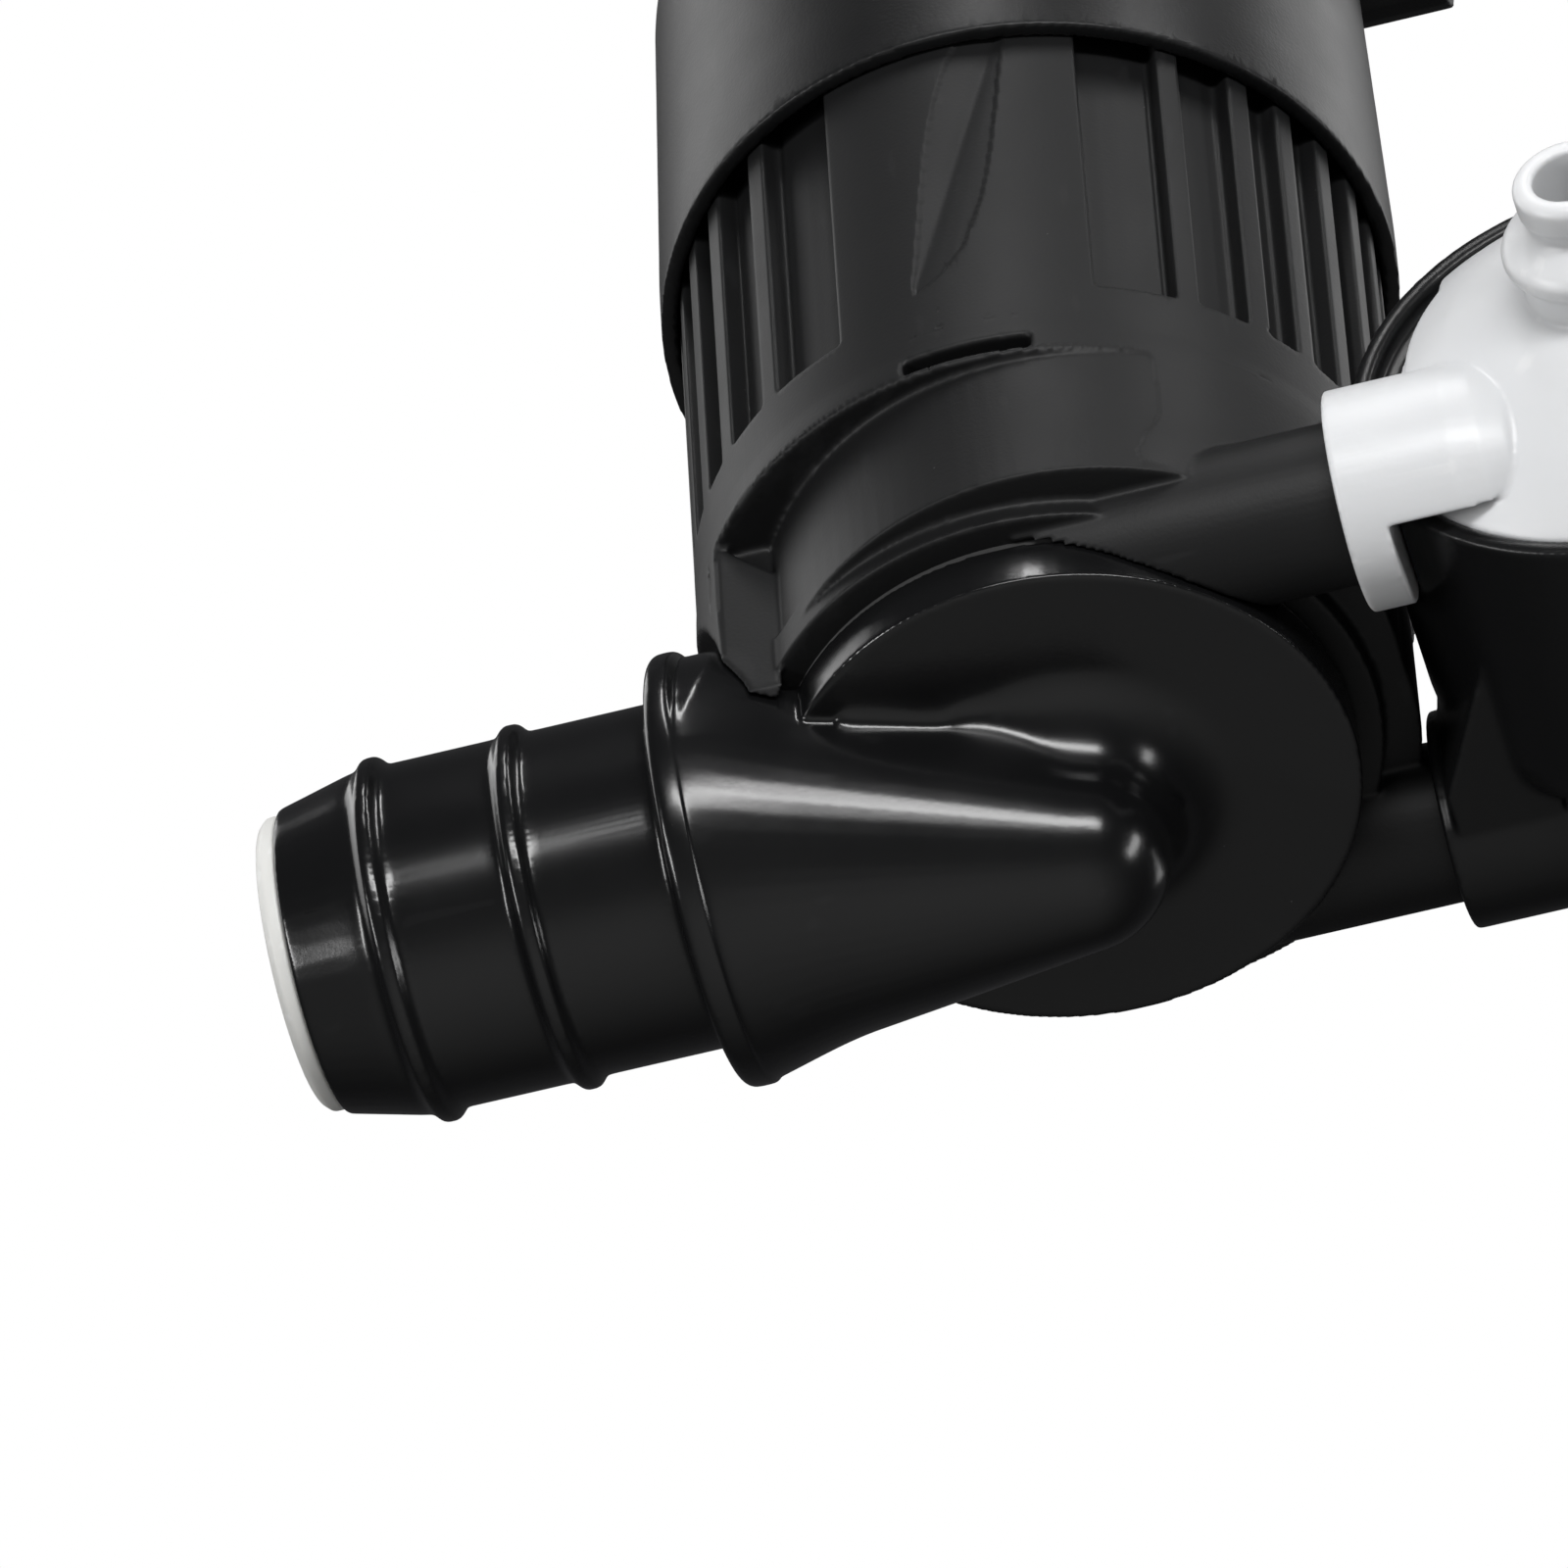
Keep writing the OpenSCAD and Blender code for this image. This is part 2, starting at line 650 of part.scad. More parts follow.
// front sleeve over its outlet pipe, with the arm that runs on into the lid
module front_sleeve() {
    translate([sleeve_x, -outlet_y, outlet_z]) along_x() cylinder(r = sleeve_r, h = sleeve_ring);
    intersection() {
        translate([sleeve_x + 1, -outlet_y, outlet_z]) along_x() rotate_extrude()
            polygon(concat([[0, 0], [sleeve_r, 0]], [for (k = [0:6]) [sleeve_r * cos(15 * k),
                arm_end_x - sleeve_x - 1 + sleeve_r * sin(15 * k)]]));
        translate([sleeve_x, -far + arm_y, -far / 2]) cube([far, far, far]);
    }
}

// straight-sided notch in the lid's edge, above the front sleeve
module lid_notch() {
    difference() {
        translate([-far - notch_x, outlet_z - valve_z + sleeve_r - 1, -1]) cube([far, far, lid_edge + dome_h]);
        translate([0, 0, -2]) cylinder(r = notch_r, h = lid_edge + 8);
    }
}

module valve_cover() {
    color([0.93, 0.93, 0.92]) on_motor() difference() {
        union() {
            on_valve(joint_y) difference() {
                lid_outside();
                lid_notch();
            }
            on_valve(joint_y) nozzle_shape(lid_edge + dome_h - 1, nozzle_len);
            on_valve(joint_y + bead_t / 2 - 0.1) ring(clamp_r - 0.1, valve_bore_r - 0.5, 1);
            front_sleeve();
            on_valve(front_seat_y) ring(seat_r, nozzle_bore_r, 4);
        }
        on_valve(joint_y) lid_cavity();
        on_valve(front_seat_y + 1) cylinder(r = nozzle_bore_r, h = nozzle_len + 2);
        // sleeve's bore and the passage through the arm
        translate([sleeve_x - 1, -outlet_y, outlet_z]) along_x() cylinder(r = sleeve_bore_r, h = sleeve_ring + 0.5);
        translate([sleeve_x + 0.6, arm_y - 0.7 - passage_t, outlet_z - passage_h / 2])
            cube([passage_end_x - sleeve_x - 0.6, passage_t, passage_h]);
        translate([passage_end_x - 1.5, arm_y - 0.7 - passage_t, outlet_z - passage_h / 2])
            cube([1.5, passage_t + 3, passage_h]);
    }
}

module bowl_outside() {
    back = bowl_depth;
    rotate_extrude() polygon(concat([[0, -rim_over], [bowl_r, -rim_over]],
        [for (k = [0:6]) [bowl_r - bowl_round + bowl_round * cos(15 * k),
            back - bowl_round + bowl_round * sin(15 * k)]],
        [[0, back]]));
}

module rear_sleeve() {
    translate([sleeve_x, outlet_y, outlet_z]) along_x() cylinder(r = sleeve_r, h = rear_sleeve_end - sleeve_x);
}

// web that joins the bowl's side to the rear sleeve
module sleeve_web() {
    inner_x = valve_x - 8;
    translate([0, 0, outlet_z - sleeve_r + 0.7]) linear_extrude(sleeve_r + 2)
        polygon([[sleeve_x + 0.7, outlet_y - 1], [sleeve_x + 0.7, outlet_y - sleeve_r],
            [inner_x, joint_y + 4], [inner_x, outlet_y - 1]]);
}

module valve_bowl() {
    tip_y = bowl_back_y + rear_nozzle_len;
    color([0.05, 0.05, 0.055]) on_motor() difference() {
        union() {
            translate([valve_x, joint_y, valve_z]) rotate([-90, 0, 0]) bowl_outside();
            rear_sleeve();
            sleeve_web();
            translate([valve_x, joint_y, valve_z]) rotate([-90, 0, 0])
                nozzle_shape(bowl_depth - 1, tip_y - joint_y);
        }
        // recess for the lid, pocket for the diaphragm's rim, chamber round the rear seat
        on_valve(joint_y) cylinder(r = lid_r + fit_gap, h = far);
        on_valve(ledge_y) cylinder(r = clamp_r, h = far);
        difference() {
            on_valve(bowl_back_y - bowl_wall) cylinder(r = valve_bore_r, h = far);
            translate([valve_x, rear_seat_y, valve_z]) rotate([-90, 0, 0]) cylinder(r = seat_r, h = far);
        }
        on_valve(far / 2) cylinder(r = nozzle_bore_r, h = far);
        // rear sleeve's bore and its passages
        translate([sleeve_x - 1, outlet_y, outlet_z]) along_x() cylinder(r = sleeve_bore_r, h = 2.6);
        translate([sleeve_x, outlet_y, outlet_z]) along_x() cylinder(r = outlet_bore_r, h = link_x + link_r - sleeve_x);
        translate([link_x, outlet_y, outlet_z]) along_front() cylinder(r = link_r, h = outlet_y);
        // room for the front sleeve
        translate([0, -outlet_y, outlet_z]) along_x()
            cylinder(r = sleeve_r + part_gap, h = sleeve_x + sleeve_ring + part_gap);
    }
}

module diaphragm_web() {
    color([0.2, 0.2, 0.2]) on_motor() {
        on_valve(web_y + web_t / 2) ring(valve_bore_r, disc_r + 0.3, web_t);
        on_valve(ledge_y) ring(clamp_r - 0.05, valve_bore_r - 0.2, bead_t);
    }
}

module diaphragm_disc() {
    color([0.25, 0.25, 0.25]) on_motor() on_valve(web_y + disc_t / 2)
        rotate_extrude() polygon([[0, 0.25], [nozzle_bore_r, 0.25], [nozzle_bore_r + 0.3, 0],
            [seat_r, 0], [disc_r, 0.35], [disc_r, disc_t - 0.35], [seat_r, disc_t],
            [nozzle_bore_r + 0.3, disc_t], [nozzle_bore_r, disc_t - 0.25], [0, disc_t - 0.25]]);
}

module outlet_seal(side) {
    translate([seal_x, side * outlet_y, outlet_z]) along_x()
        ring(sleeve_bore_r, outlet_r - seal_groove, seal_w);
}

module front_outlet_seal() { color([0.15, 0.15, 0.15]) on_motor() outlet_seal(-1); }

module rear_outlet_seal() { color([0.15, 0.15, 0.15]) on_motor() outlet_seal(1); }

// ---------- motor ----------

module shaft_seal() {
    color([0.2, 0.13, 0.1]) on_motor() translate([0, 0, chamber_top + seal_lip_t]) difference() {
        cylinder(r = seal_seat_r, h = bay_z - chamber_top - seal_lip_t);
        translate([0, 0, 1]) cylinder(r = seal_lip_r, h = far);
        translate([0, 0, -1]) cylinder(r = shaft_r + shaft_gap, h = far);
    }
}

module motor_can() {
    color([0.75, 0.76, 0.78]) on_motor() difference() {
        union() {
            translate([0, 0, can_z]) cylinder(r = can_r, h = can_len);
            translate([0, 0, boss_z]) cylinder(r = bush_r + 0.8, h = can_z - boss_z + 1);
        }
        translate([0, 0, can_z + can_wall]) cylinder(r = can_r - can_wall, h = far);
        translate([0, 0, bush_z]) cylinder(r = bush_r, h = far);
        cylinder(r = shaft_r + 0.5, h = far);
    }
}

module magnet(side) {
    r = can_r - can_wall - 0.05;
    translate([0, 0, magnet_z]) intersection() {
        ring(r, r - magnet_t, magnet_len);
        translate([0, 0, -1]) wedge(side > 0 ? 0 : 180, 2 * magnet_arc, r, magnet_len + 2);
    }
}

module magnet_left() { color([0.3, 0.3, 0.32]) on_motor() magnet(-1); }

module magnet_right() { color([0.3, 0.3, 0.32]) on_motor() magnet(1); }

module brush_plate() {
    color([0.85, 0.82, 0.72]) on_motor() difference() {
        union() {
            translate([0, 0, can_top]) cylinder(r = can_r, h = bell_t);
            translate([0, 0, can_top - bell_drop]) ring(can_r - can_wall - 0.05, can_r - can_wall - 2, bell_drop);
            translate([0, 0, can_top]) cylinder(r = bush_r + 0.8, h = bell_t + bell_boss_h);
        }
        translate([0, 0, can_top - 1]) cylinder(r = shaft_r + 0.5, h = far);
        translate([0, 0, upper_bush_z]) cylinder(r = bush_r, h = far);
        for (side = [-1, 1]) translate([pin_x - pin_slot, side * pin_y - pin_t / 2 - pin_slot, can_top - 1])
            cube([pin_w + 2 * pin_slot, pin_t + 2 * pin_slot, 5]);
    }
}

module brush(side) {
    y0 = comm_r + brush_gap;
    y1 = pin_y + pin_t / 2;
    difference() {
        translate([-brush_w / 2, side > 0 ? y0 - 0.5 : -y1, comm_z + (comm_len - brush_h) / 2])
            cube([brush_w, y1 - y0 + 0.5, brush_h]);
        cylinder(r = comm_r + brush_gap, h = far);
    }
}

module brush_front() { color([0.2, 0.18, 0.17]) on_motor() brush(-1); }

module brush_rear() { color([0.2, 0.18, 0.17]) on_motor() brush(1); }

module brush_arm(side) {
    y = pin_y + pin_t / 2;
    translate([-brush_w / 2 - 0.4, side > 0 ? y : -y - arm_t, comm_z + (comm_len - arm_h) / 2])
        cube([pin_x + pin_w + brush_w / 2 + 0.4, arm_t, arm_h]);
}

module brush_arm_front() { color([0.8, 0.6, 0.3]) on_motor() brush_arm(-1); }

module brush_arm_rear() { color([0.8, 0.6, 0.3]) on_motor() brush_arm(1); }

// blade that rises from the brush arm and turns into the socket
module terminal(side) {
    foot = comm_z + comm_len / 2;
    translate([0, side * pin_y - pin_t / 2, 0]) {
        translate([pin_x, 0, foot]) cube([pin_w, pin_t, plug_z + pin_w / 2 - foot]);
        translate([pin_x, 0, plug_z - pin_w / 2]) cube([pin_tip_x - pin_x, pin_t, pin_w]);
    }
}

module terminal_front() { color([0.82, 0.8, 0.74]) on_motor() terminal(-1); }

module terminal_rear() { color([0.82, 0.8, 0.74]) on_motor() terminal(1); }

module bush(z) { translate([0, 0, z]) ring(bush_r, shaft_r + shaft_gap, bush_len); }

module lower_bush() { color([0.7, 0.5, 0.25]) on_motor() bush(bush_z); }

module upper_bush() { color([0.7, 0.5, 0.25]) on_motor() bush(upper_bush_z); }

// ---------- rotor ----------

module motor_shaft() {
    color([0.8, 0.8, 0.82]) on_motor()
        translate([0, 0, shaft_z]) cylinder(r = shaft_r, h = shaft_top - shaft_z);
}

module pole(k) {
    rotate([0, 0, k * 120 + 60]) {
        intersection() {
            ring(armature_r, armature_r - pole_t, core_len);
            translate([0, 0, -1]) wedge(0, pole_w, armature_r, core_len + 2);
        }
        translate([0, -pole_neck / 2, 0]) cube([armature_r - pole_t / 2, pole_neck, core_len]);
    }
}

module armature_core() {
    color([0.45, 0.45, 0.48]) on_motor() translate([0, 0, core_z]) difference() {
        union() {
            translate([0, 0, -collar_h]) cylinder(r = core_r, h = core_len + 2 * collar_h);
            for (k = [0:2]) pole(k);
        }
        translate([0, 0, -1]) cylinder(r = shaft_r, h = core_len + 2);
    }
}

module windings() {
    color([0.72, 0.36, 0.16]) on_motor() translate([0, 0, core_z - coil_over])
        for (k = [0:2]) rotate([0, 0, k * 120 + 60]) difference() {
            translate([coil_in, -coil_w / 2, 0]) cube([coil_out - coil_in, coil_w, core_len + 2 * coil_over]);
            translate([0, -pole_neck / 2 - 0.05, coil_over - 0.05])
                cube([armature_r, pole_neck + 0.1, core_len + 0.1]);
        }
}

module commutator() {
    color([0.75, 0.42, 0.2]) on_motor() translate([0, 0, comm_z]) difference() {
        union() {
            cylinder(r = comm_r, h = comm_len);
            translate([0, 0, -1]) cylinder(r = comm_r + 0.8, h = 1);
        }
        translate([0, 0, -2]) cylinder(r = shaft_r, h = comm_len + 3);
        for (k = [0:2]) rotate([0, 0, k * 120]) translate([comm_r - 0.6, -0.2, 0]) cube([2, 0.4, comm_len + 1]);
    }
}

module impeller() {
    color([0.9, 0.9, 0.86]) on_motor() translate([0, 0, vane_z]) difference() {
        union() {
            cylinder(r = hub_r, h = vane_h + web_h + 0.4);
            translate([0, 0, vane_h - 0.1]) cylinder(r = impeller_r, h = web_h);
            for (k = [0 : vane_count - 1]) rotate([0, 0, k * 360 / vane_count])
                translate([0, -vane_t / 2, 0]) cube([impeller_r - 0.1, vane_t, vane_h]);
        }
        translate([0, 0, shaft_z - vane_z]) cylinder(r = shaft_r, h = far);
    }
}

module washer(z) { translate([0, 0, z]) ring(shaft_r + 1.1, shaft_r, 0.4); }

module lower_washer() { color([0.9, 0.88, 0.8]) on_motor() washer(bush_z + bush_len + 0.1); }

module upper_washer() { color([0.9, 0.88, 0.8]) on_motor() washer(can_top - 0.6); }

lower_housing();
motor_cap();
bottom_cover();
cover_gasket();
cap_seal();
inlet_strainer();
valve_bowl();
valve_cover();
diaphragm_web();
diaphragm_disc();
front_outlet_seal();
rear_outlet_seal();
shaft_seal();
motor_can();
magnet_left();
magnet_right();
brush_plate();
brush_front();
brush_rear();
brush_arm_front();
brush_arm_rear();
terminal_front();
terminal_rear();
lower_bush();
upper_bush();
motor_shaft();
armature_core();
windings();
commutator();
impeller();
lower_washer();
upper_washer();
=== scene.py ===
import json
import math
import bpy
import numpy as np
from mathutils import Matrix, Vector
from mathutils.kdtree import KDTree


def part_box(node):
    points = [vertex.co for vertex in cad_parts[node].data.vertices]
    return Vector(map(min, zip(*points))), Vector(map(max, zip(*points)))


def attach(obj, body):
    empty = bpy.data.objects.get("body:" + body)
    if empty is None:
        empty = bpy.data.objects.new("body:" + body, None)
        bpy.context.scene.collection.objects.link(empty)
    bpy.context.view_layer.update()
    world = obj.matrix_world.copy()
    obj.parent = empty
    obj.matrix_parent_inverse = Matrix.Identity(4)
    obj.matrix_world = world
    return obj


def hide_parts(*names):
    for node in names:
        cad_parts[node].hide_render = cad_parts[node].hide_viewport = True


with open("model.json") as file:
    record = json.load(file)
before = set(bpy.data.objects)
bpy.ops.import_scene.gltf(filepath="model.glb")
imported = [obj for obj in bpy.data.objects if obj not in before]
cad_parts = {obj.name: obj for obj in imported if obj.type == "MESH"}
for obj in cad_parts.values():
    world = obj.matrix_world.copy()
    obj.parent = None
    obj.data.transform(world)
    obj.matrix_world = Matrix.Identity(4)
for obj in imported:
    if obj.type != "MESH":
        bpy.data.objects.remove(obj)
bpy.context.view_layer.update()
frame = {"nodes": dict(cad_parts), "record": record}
nodes = frame["nodes"]
print("frame loaded,", len(nodes), "parts")

mm = 0.001

# places taken from the frame

canLow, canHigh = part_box("motor_can")
motorX = (canLow.x + canHigh.x) / 2
gasketLow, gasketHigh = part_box("cover_gasket")
coverThick = 3 * mm
faceZ = gasketHigh.z - coverThick          # underside of the cover's disc
motorFoot = Vector((motorX, 0, faceZ))

# camera

shot = {
    "azimuth": 12.4,        # degrees round from the front
    "elevation": -49.16,    # seen from below
    "roll": 3.61,
    "lens": 396,            # long lens, standing well back
    "distance": 0.8121,
    "aside": 13.51 * mm,    # how far the pump's foot stands right of the lens axis
    "above": -0.735 * mm,
}


def makeCamera(s):
    a, e, r = (math.radians(s[k]) for k in ("azimuth", "elevation", "roll"))
    back = Vector((math.sin(a) * math.cos(e), -math.cos(a) * math.cos(e), math.sin(e)))
    level = Vector((math.cos(a), math.sin(a), 0))
    rise = back.cross(level)
    right = level * math.cos(r) - rise * math.sin(r)
    up = rise * math.cos(r) + level * math.sin(r)
    data = bpy.data.cameras.new("camera")
    data.lens = s["lens"]
    data.sensor_width = 36
    data.clip_start = 0.05
    data.clip_end = 12
    cam = bpy.data.objects.new("camera", data)
    bpy.context.scene.collection.objects.link(cam)
    spot = motorFoot - right * s["aside"] - up * s["above"] + back * s["distance"]
    turn = Matrix((right, up, back)).transposed().to_4x4()
    cam.matrix_world = Matrix.Translation(spot) @ turn
    bpy.context.scene.camera = cam
    return right, up, back


camRight, camUp, camBack = makeCamera(shot)
print("camera set")

# materials


class Nodes:
    # small helper that adds and joins shader nodes
    def __init__(self, name):
        self.mat = bpy.data.materials.new(name)
        self.mat.use_nodes = True
        self.tree = self.mat.node_tree
        self.shader = self.tree.nodes["Principled BSDF"]
        self.coords = self.tree.nodes.new("ShaderNodeTexCoord").outputs["Object"]

    def put(self, kind, **values):
        n = self.tree.nodes.new(kind)
        for key, value in values.items():
            if key in n.inputs:
                n.inputs[key].default_value = value
            else:
                setattr(n, key, value)
        return n

    def join(self, a, b):
        self.tree.links.new(a, b)

    def noise(self, scale, detail=3.0, rough=0.55, stretch=None):
        n = self.put("ShaderNodeTexNoise")
        n.inputs["Scale"].default_value = scale
        n.inputs["Detail"].default_value = detail
        n.inputs["Roughness"].default_value = rough
        if stretch:
            m = self.put("ShaderNodeMapping")
            m.inputs["Scale"].default_value = stretch
            self.join(self.coords, m.inputs["Vector"])
            self.join(m.outputs["Vector"], n.inputs["Vector"])
        else:
            self.join(self.coords, n.inputs["Vector"])
        return n.outputs["Fac"]

    def ramp(self, source, stops):
        n = self.put("ShaderNodeValToRGB")
        band = n.color_ramp
        while len(band.elements) < len(stops):
            band.elements.new(0.5)
        for element, (place, colour) in zip(band.elements, stops):
            element.position = place
            element.color = (*colour, 1) if len(colour) == 3 else (colour[0],) * 3 + (1,)
        self.join(source, n.inputs["Fac"])
        return n.outputs["Color"]

    def mix(self, share, a, b):
        n = self.put("ShaderNodeMix", data_type="RGBA")
        for socket, value in ((n.inputs[0], share), (n.inputs[6], a), (n.inputs[7], b)):
            if isinstance(value, bpy.types.NodeSocket):
                self.join(value, socket)
            elif socket.type == "RGBA":
                socket.default_value = (*value, 1)
            else:
                socket.default_value = value
        return n.outputs[2]

    def maths(self, operation, a, b=0.0):
        n = self.put("ShaderNodeMath", operation=operation)
        for socket, value in ((n.inputs[0], a), (n.inputs[1], b)):
            if isinstance(value, bpy.types.NodeSocket):
                self.join(value, socket)
            else:
                socket.default_value = value
        return n.outputs["Value"]

    def span(self, source, low, high):
        n = self.put("ShaderNodeMapRange")
        n.inputs["To Min"].default_value = low
        n.inputs["To Max"].default_value = high
        self.join(source, n.inputs["Value"])
        return n.outputs["Result"]

    def bump(self, source, strength, distance, under=None):
        n = self.put("ShaderNodeBump")
        n.inputs["Strength"].default_value = strength
        n.inputs["Distance"].default_value = distance
        self.join(source, n.inputs["Height"])
        if under:
            self.join(under, n.inputs["Normal"])
        return n.outputs["Normal"]


def mouldedPlastic(name, look):
    k = Nodes(name)
    wide = k.noise(look["flow"], 2.0)
    colour = k.mix(k.span(wide, 0.0, 1.0), look["dark"], look["light"])
    rubbed = k.put("ShaderNodeNewGeometry").outputs["Pointiness"]
    worn = k.ramp(rubbed, [(0.52, (0.0,)), (0.60, (1.0,))])
    colour = k.mix(k.maths("MULTIPLY", worn, look["edge"]), colour, look["edgeColour"])
    if look["dust"]:
        cells = k.put("ShaderNodeTexVoronoi")
        cells.inputs["Scale"].default_value = look["dustScale"]
        k.join(k.coords, cells.inputs["Vector"])
        speck = k.ramp(cells.outputs["Distance"], [(0.0, (1.0,)), (look["dustSize"], (0.0,))])
        some = k.ramp(k.noise(look["dustScale"] * 0.45, 1.0), [(0.60, (0.0,)), (0.66, (1.0,))])
        dusty = k.maths("MULTIPLY", k.maths("MULTIPLY", speck, some), look["dust"])
        colour = k.mix(dusty, colour, look["dustColour"])
    k.join(colour, k.shader.inputs["Base Color"])
    smear = k.noise(look["smear"], 4.0, 0.6, look.get("drawn"))
    k.join(k.span(smear, look["rough"] - look["roughSpread"], look["rough"] + look["roughSpread"]),
           k.shader.inputs["Roughness"])
    fine = k.noise(look["grain"], 2.0, 0.5)
    slow = k.noise(look["ripple"], 1.0)
    normal = k.bump(slow, look["rippleDepth"], 0.4 * mm)
    k.join(k.bump(fine, look["grainDepth"], 0.02 * mm, normal), k.shader.inputs["Normal"])
    k.shader.inputs["IOR"].default_value = look["ior"]
    k.shader.inputs["Specular IOR Level"].default_value = look["gloss"]
    if look.get("glow"):
        k.shader.inputs["Subsurface Weight"].default_value = look["glow"]
        k.shader.inputs["Subsurface Radius"].default_value = (1.0, 0.95, 0.9)
        k.shader.inputs["Subsurface Scale"].default_value = 1.2 * mm
    return k.mat


satinBlack = {
    "dark": (0.0034, 0.0035, 0.0038), "light": (0.0052, 0.0053, 0.0056), "flow": 90,
    "edge": 0.2, "edgeColour": (0.02, 0.02, 0.021),
    "dust": 0.5, "dustColour": (0.20, 0.20, 0.20), "dustScale": 900, "dustSize": 0.05,
    "rough": 0.52, "roughSpread": 0.05, "smear": 260,
    "grain": 5200, "grainDepth": 0.35, "ripple": 170, "rippleDepth": 0.012,
    "ior": 1.46, "gloss": 0.32,
}
housingPlastic = mouldedPlastic("housingPlastic", satinBlack)
capPlastic = mouldedPlastic("capPlastic", {**satinBlack, "dark": (0.0042, 0.0043, 0.0046), "rough": 0.42,
                                           "edge": 0.18, "grainDepth": 0.45})
coverPlastic = mouldedPlastic("coverPlastic", {**satinBlack, "rough": 0.2, "roughSpread": 0.04,
                                               "grainDepth": 0.1, "gloss": 0.5, "edge": 0.12})
valvePlastic = mouldedPlastic("valvePlastic", {**satinBlack, "rough": 0.32, "grainDepth": 0.2})

naturalWhite = {
    "dark": (0.60, 0.61, 0.625), "light": (0.67, 0.675, 0.68), "flow": 70,
    "edge": 0.3, "edgeColour": (0.76, 0.76, 0.76),
    "dust": 0.25, "dustColour": (0.45, 0.44, 0.42), "dustScale": 800, "dustSize": 0.04,
    "rough": 0.36, "roughSpread": 0.06, "smear": 200,
    "grain": 4200, "grainDepth": 0.15, "ripple": 150, "rippleDepth": 0.01,
    "ior": 1.50, "gloss": 0.5, "glow": 0.35,
}
coverWhite = mouldedPlastic("coverWhite", naturalWhite)
strainerWhite = mouldedPlastic("strainerWhite", {**naturalWhite, "dark": (0.58, 0.58, 0.56),
                                                 "light": (0.66, 0.66, 0.64), "rough": 0.5})


def bareMetal(name, look):
    k = Nodes(name)
    drawn = k.noise(look["grain"], 5.0, 0.65, look["drawn"])
    tarnish = k.noise(look["tarnish"], 4.0)
    colour = k.mix(k.span(tarnish, 0.0, 1.0), look["dark"], look["light"])
    colour = k.mix(k.span(drawn, 0.0, look["streak"]), colour, look["dark"])
    k.join(colour, k.shader.inputs["Base Color"])
    k.join(k.span(drawn, look["rough"] - 0.08, look["rough"] + 0.1), k.shader.inputs["Roughness"])
    k.join(k.bump(drawn, look["depth"], 0.02 * mm), k.shader.inputs["Normal"])
    k.shader.inputs["Metallic"].default_value = look["metal"]
    return k.mat


plate = {"grain": 900, "drawn": (1, 1, 0.1), "tarnish": 160, "streak": 0.3, "rough": 0.3, "depth": 0.2,
         "metal": 1.0, "dark": (0.45, 0.46, 0.48), "light": (0.70, 0.71, 0.73)}
zincPlate = bareMetal("zincPlate", plate)
groundSteel = bareMetal("groundSteel", {**plate, "rough": 0.2, "drawn": (1, 1, 8), "grain": 1200})
stackedSteel = bareMetal("stackedSteel", {**plate, "drawn": (0.05, 0.05, 3.0), "grain": 1500, "streak": 0.9,
                                          "rough": 0.45, "dark": (0.12, 0.12, 0.13),
                                          "light": (0.4, 0.4, 0.42)})
tinPlate = bareMetal("tinPlate", {**plate, "dark": (0.55, 0.54, 0.51), "light": (0.80, 0.78, 0.74)})
springBrass = bareMetal("springBrass", {**plate, "dark": (0.45, 0.28, 0.09), "light": (0.80, 0.58, 0.26)})
bushBronze = bareMetal("bushBronze", {**plate, "rough": 0.5, "dark": (0.30, 0.17, 0.07),
                                      "light": (0.58, 0.36, 0.17), "drawn": (1, 1, 1), "grain": 2600})
turnedCopper = bareMetal("turnedCopper", {**plate, "dark": (0.42, 0.17, 0.08), "light": (0.78, 0.40, 0.24),
                                          "drawn": (1, 1, 9)})
sinteredFerrite = bareMetal("sinteredFerrite", {**plate, "metal": 0.15, "rough": 0.6, "drawn": (1, 1, 1),
                                                "grain": 2200, "dark": (0.03, 0.03, 0.033),
                                                "light": (0.075, 0.075, 0.08), "depth": 0.5})
carbonBlock = bareMetal("carbonBlock", {**plate, "metal": 0.0, "rough": 0.7, "drawn": (1, 1, 1),
                                        "grain": 3000, "dark": (0.015, 0.014, 0.013),
                                        "light": (0.04, 0.037, 0.035), "depth": 0.5})


def woundWire(name):
    k = Nodes(name)
    wire = k.put("ShaderNodeTexWave", wave_type="BANDS", bands_direction="Z")
    wire.inputs["Scale"].default_value = 520
    wire.inputs["Distortion"].default_value = 1.2
    k.join(k.coords, wire.inputs["Vector"])
    # the ramp paints shade into the grooves between the turns and a painted highlight along each turn's
    # crest, over the copper's own colour
    colour = k.ramp(wire.outputs["Fac"], [(0.0, (0.10, 0.03, 0.012)), (0.55, (0.50, 0.17, 0.06)),
                                          (1.0, (0.78, 0.36, 0.15))])
    k.join(colour, k.shader.inputs["Base Color"])
    k.shader.inputs["Metallic"].default_value = 0.7
    k.shader.inputs["Roughness"].default_value = 0.32
    k.join(k.bump(wire.outputs["Fac"], 0.8, 0.1 * mm), k.shader.inputs["Normal"])
    return k.mat


enamelledWire = woundWire("enamelledWire")


def sealRubber(name, dark, light):
    k = Nodes(name)
    k.join(k.mix(k.span(k.noise(500, 4.0), 0.0, 1.0), dark, light), k.shader.inputs["Base Color"])
    k.join(k.span(k.noise(900, 3.0), 0.5, 0.75), k.shader.inputs["Roughness"])
    k.join(k.bump(k.noise(3800, 2.0), 0.4, 0.03 * mm), k.shader.inputs["Normal"])
    k.shader.inputs["Sheen Weight"].default_value = 0.1
    return k.mat


blackRubber = sealRubber("blackRubber", (0.012, 0.012, 0.012), (0.03, 0.03, 0.03))
greyRubber = sealRubber("greyRubber", (0.025, 0.025, 0.027), (0.05, 0.05, 0.052))

